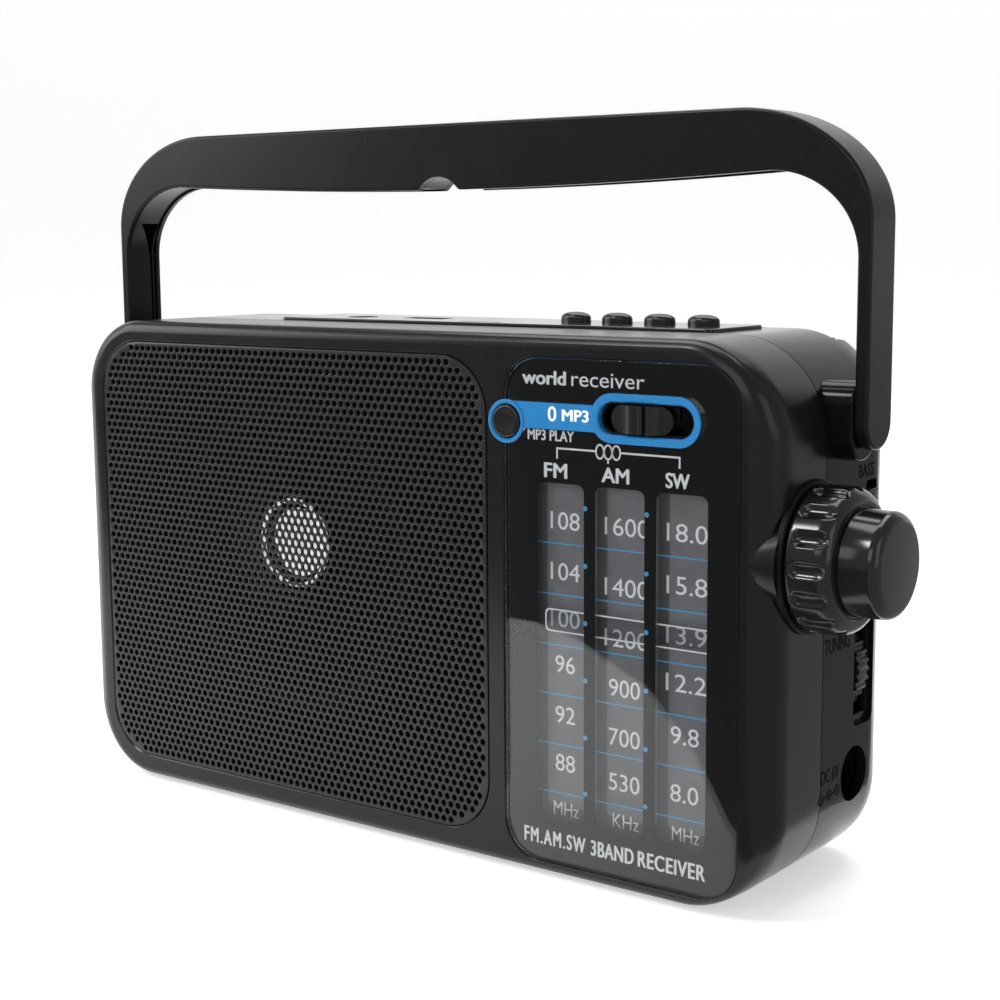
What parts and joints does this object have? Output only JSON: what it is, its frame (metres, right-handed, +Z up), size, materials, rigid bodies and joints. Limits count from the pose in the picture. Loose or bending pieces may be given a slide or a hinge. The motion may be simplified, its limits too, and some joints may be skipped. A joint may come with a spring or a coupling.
{
  "type": "shortwave receiver",
  "caption": "Portable three-band receiver with a folding carrying handle, perforated speaker grille, tall printed dial, side tuning knob and telescopic antenna.",
  "frame": {"origin": "middle of the body's footprint, on the plane that the four feet rest on", "axes": "+X to the user's right, +Y to the back, +Z up; the dial and grille face -Y"},
  "size_m": [0.2387, 0.0616, 0.171],
  "materials": {
    "shell_black": "moulded, low gloss front and glossier sides",
    "handle_black": "moulded, satin",
    "knob_black": "moulded, polished",
    "control_black": "moulded, satin",
    "grille_black": "perforated sheet, powder coated",
    "lens_clear": "clear acrylic sheet",
    "dial_print": "printed dark grey",
    "scale_grey": "printed mid grey",
    "pointer_clear": "clear acrylic with a white line",
    "trim_blue": "moulded blue",
    "rubber": "soft rubber",
    "steel": "plated steel",
    "chrome": "polished plating",
    "aluminium": "pressed aluminium",
    "magnet": "ferrite ring with a steel yoke",
    "paper": "pressed paper pulp",
    "board": "glass fibre board",
    "copper": "enamelled wire",
    "component": "moulded part",
    "nylon": "white moulded nylon",
    "cell": "shrink wrapped cell"
  },
  "bodies": {
    "radio": {"front_shell": "shell_black", "back_shell": "shell_black", "speaker_grille": "grille_black", "dial_lens": "lens_clear", "dial_mask": "dial_print", "dial_scale": "scale_grey", "blue_trim": "trim_blue", "top_panel": "shell_black", "handle_blocks": "shell_black", "rubber_feet": "rubber", "case_screws": "steel", "speaker_basket": "steel", "speaker_surround": "rubber", "speaker_cone": "paper", "dust_cap": "aluminium", "speaker_magnet": "magnet", "speaker_screws": "steel", "main_board": "board", "media_board": "board", "tuning_capacitor": "nylon", "band_switch": "steel", "if_cans": "aluminium", "board_capacitors": "cell", "ferrite_rod": "magnet", "ferrite_coil": "copper", "dc_jack": "component", "headphone_jack": "component", "usb_port": "steel", "card_reader": "steel", "bass_switch": "steel", "volume_pot": "steel", "button_switches": "component", "battery_cells": "cell", "battery_springs": "steel", "battery_plates": "steel", "pointer_rails": "steel", "spindle_bracket": "steel"},
    "handle": {"handle": "handle_black", "handle_cover": "handle_black", "handle_screws": "steel"},
    "tuning": {"tuning_ring": "knob_black", "tuning_cap": "knob_black", "tuning_spindle": "steel"},
    "capacitor": {"capacitor_drum": "nylon"},
    "pointer": {"dial_pointer": "pointer_clear"},
    "volume": {"volume_wheel": "control_black"},
    "bass": {"bass_slider": "control_black"},
    "band": {"band_slider": "control_black"},
    "play": {"play_button": "control_black"},
    "button_1": {"top_button_1": "control_black"},
    "button_2": {"top_button_2": "control_black"},
    "button_3": {"top_button_3": "control_black"},
    "button_4": {"top_button_4": "control_black"},
    "door": {"battery_door": "shell_black"},
    "antenna_swivel": {"antenna_base": "chrome"},
    "antenna_lower": {"antenna_tube_1": "chrome"},
    "antenna_second": {"antenna_tube_2": "chrome"},
    "antenna_third": {"antenna_tube_3": "chrome"},
    "antenna_tip": {"antenna_tube_4": "chrome"}
  },
  "joints": [
    {"name": "handle_swing", "type": "hinge", "parent": "radio", "child": "handle", "pos_m": [0, 0, 0.105], "axis": [1, 0, 0], "range_deg": [-90, 90]},
    {"name": "tuning_turn", "type": "hinge", "parent": "radio", "child": "tuning", "pos_m": [0.106, -0.0124, 0.0771], "axis": [1, 0, 0], "range_deg": [-540, 340]},
    {"name": "capacitor_turn", "type": "hinge", "parent": "radio", "child": "capacitor", "pos_m": [0.061, -0.018, 0.049], "axis": [0, 1, 0], "range_deg": [-109.7, 69.1]},
    {"name": "pointer_travel", "type": "slide", "parent": "radio", "child": "pointer", "axis": [0, 0, 1], "range_m": [-0.0377, 0.02374]},
    {"name": "volume_turn", "type": "hinge", "parent": "radio", "child": "volume", "pos_m": [0.0933, 0.013, 0.0478], "axis": [0, 1, 0], "range_deg": [0, 300]},
    {"name": "bass_slide", "type": "slide", "parent": "radio", "child": "bass", "axis": [0, 0, 1], "range_m": [-0.0042, 0]},
    {"name": "band_slide", "type": "slide", "parent": "radio", "child": "band", "axis": [1, 0, 0], "range_m": [-0.0023, 0.0046]},
    {"name": "play_press", "type": "slide", "parent": "radio", "child": "play", "axis": [0, 1, 0], "range_m": [0, 0.0008], "stiffness_N_per_m": 800},
    {"name": "button_1_press", "type": "slide", "parent": "radio", "child": "button_1", "axis": [0, 0, -1], "range_m": [0, 0.0009], "stiffness_N_per_m": 800},
    {"name": "button_2_press", "type": "slide", "parent": "radio", "child": "button_2", "axis": [0, 0, -1], "range_m": [0, 0.0009], "stiffness_N_per_m": 800},
    {"name": "button_3_press", "type": "slide", "parent": "radio", "child": "button_3", "axis": [0, 0, -1], "range_m": [0, 0.0009], "stiffness_N_per_m": 800},
    {"name": "button_4_press", "type": "slide", "parent": "radio", "child": "button_4", "axis": [0, 0, -1], "range_m": [0, 0.0009], "stiffness_N_per_m": 800},
    {"name": "door_hinge", "type": "hinge", "parent": "radio", "child": "door", "pos_m": [-0.034, 0.029, 0.0093], "axis": [-1, 0, 0], "range_deg": [0, 80]},
    {"name": "antenna_swing", "type": "hinge", "parent": "radio", "child": "antenna_swivel", "pos_m": [0.0855, 0.0254, 0.115], "axis": [0, 0, -1], "range_deg": [0, 90]},
    {"name": "antenna_lift", "type": "hinge", "parent": "antenna_swivel", "child": "antenna_lower", "pos_m": [0.0855, 0.0254, 0.1176], "axis": [0, 1, 0], "range_deg": [0, 90]},
    {"name": "antenna_second_slide", "type": "slide", "parent": "antenna_lower", "child": "antenna_second", "axis": [-1, 0, 0], "range_m": [0, 0.135]},
    {"name": "antenna_third_slide", "type": "slide", "parent": "antenna_second", "child": "antenna_third", "axis": [-1, 0, 0], "range_m": [0, 0.135]},
    {"name": "antenna_tip_slide", "type": "slide", "parent": "antenna_third", "child": "antenna_tip", "axis": [-1, 0, 0], "range_m": [0, 0.135]}
  ],
  "couplings": [
    {"joint": "pointer_travel", "follows": "tuning_turn", "m_per_rad": 0.004},
    {"joint": "capacitor_turn", "follows": "tuning_turn", "ratio": 0.20305}
  ]
}
